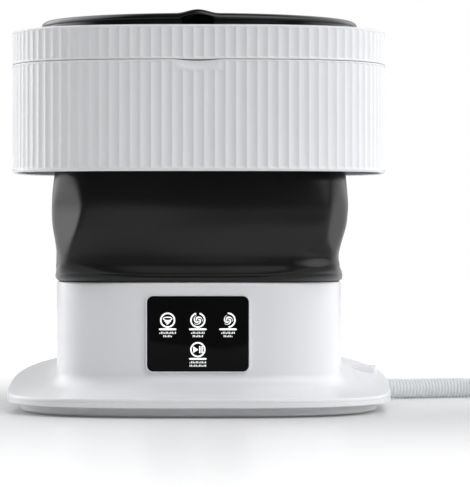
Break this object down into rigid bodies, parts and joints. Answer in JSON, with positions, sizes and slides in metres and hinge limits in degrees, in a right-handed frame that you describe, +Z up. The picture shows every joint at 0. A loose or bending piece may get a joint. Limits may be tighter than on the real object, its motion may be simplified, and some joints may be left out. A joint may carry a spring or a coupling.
{
  "type": "folding portable washing machine",
  "caption": "Small folding washing machine: motor base with touch panel, soft bellows tub, two ribbed rings, a hinged round lid and a drain hose.",
  "frame": {"origin": "on the floor, under the middle of the base's skirt", "axes": "+Z up, the control panel faces -Y, the drain hose leaves towards +X"},
  "size_m": [0.6364, 0.3344, 0.3252],
  "materials": {
    "white_gloss": "glossy white moulding",
    "white_inner": "satin white moulding",
    "black_gloss": "polished black",
    "black_soft": "satin soft elastomer",
    "black_rubber": "matt rubber",
    "dark_plastic": "satin dark plastic",
    "steel": "bright steel",
    "zinc": "zinc plated",
    "board_green": "solder mask",
    "hose_white": "milky translucent hose"
  },
  "bodies": {
    "base": {"base_housing": "white_gloss", "base_plate": "white_inner", "rubber_foot_1": "black_rubber", "rubber_foot_2": "black_rubber", "rubber_foot_3": "black_rubber", "rubber_foot_4": "black_rubber", "base_screw_1": "steel", "base_screw_2": "steel", "base_screw_3": "steel", "base_screw_4": "steel", "control_panel": "black_gloss", "control_board": "board_green", "power_inlet": "dark_plastic", "power_lead": "dark_plastic", "motor_lead": "dark_plastic", "motor": "zinc", "motor_bracket": "steel", "drive_belt": "black_rubber", "bearing_housing": "zinc", "lower_bearing": "steel", "upper_bearing": "steel", "shaft_seal": "black_rubber", "tub_pan": "white_inner", "drain_elbow": "white_inner", "bellows": "black_soft", "lower_clamp_ring": "white_inner", "hose_collar": "hose_white", "hose_run": "hose_white", "hose_coil": "hose_white", "hose_cuff": "dark_plastic"},
    "tub_top": {"rim_ring": "white_gloss", "tub_deck": "white_inner", "upper_clamp_ring": "white_inner", "ring_seal": "black_rubber", "ring_hinge_pin": "steel"},
    "lid_frame": {"lid_ring": "white_gloss", "lid_liner": "white_inner", "lid_hinge_pin": "steel"},
    "round_lid": {"lid": "black_gloss", "lid_gasket": "black_rubber"},
    "wash_disc": {"pulsator": "white_inner", "pulsator_screw": "steel", "pulsator_shaft": "steel", "driven_pulley": "dark_plastic"},
    "motor_rotor": {"motor_shaft": "steel", "motor_pulley": "dark_plastic"},
    "plug": {"drain_plug": "black_rubber"}
  },
  "joints": [
    {"name": "fold", "type": "slide", "parent": "base", "child": "tub_top", "axis": [0, 0, 1], "range_m": [-0.15, 0], "deforming": ["bellows"]},
    {"name": "lid_frame_hinge", "type": "hinge", "parent": "tub_top", "child": "lid_frame", "pos_m": [0, 0.1563, 0.2845], "axis": [-1, 0, 0], "range_deg": [0, 95]},
    {"name": "round_lid_hinge", "type": "hinge", "parent": "lid_frame", "child": "round_lid", "pos_m": [0, 0.1385, 0.315], "axis": [-1, 0, 0], "range_deg": [0, 95]},
    {"name": "wash_spin", "type": "hinge", "parent": "base", "child": "wash_disc", "pos_m": [0, 0, 0.07], "axis": [0, 0, 1], "continuous": true},
    {"name": "motor_spin", "type": "hinge", "parent": "base", "child": "motor_rotor", "pos_m": [-0.066, 0, 0.02], "axis": [0, 0, 1], "continuous": true},
    {"name": "plug_pull", "type": "slide", "parent": "base", "child": "plug", "axis": [0, 0, 1], "range_m": [0, 0.012]}
  ],
  "couplings": [
    {"joint": "motor_spin", "follows": "wash_spin", "ratio": 3.4286}
  ]
}
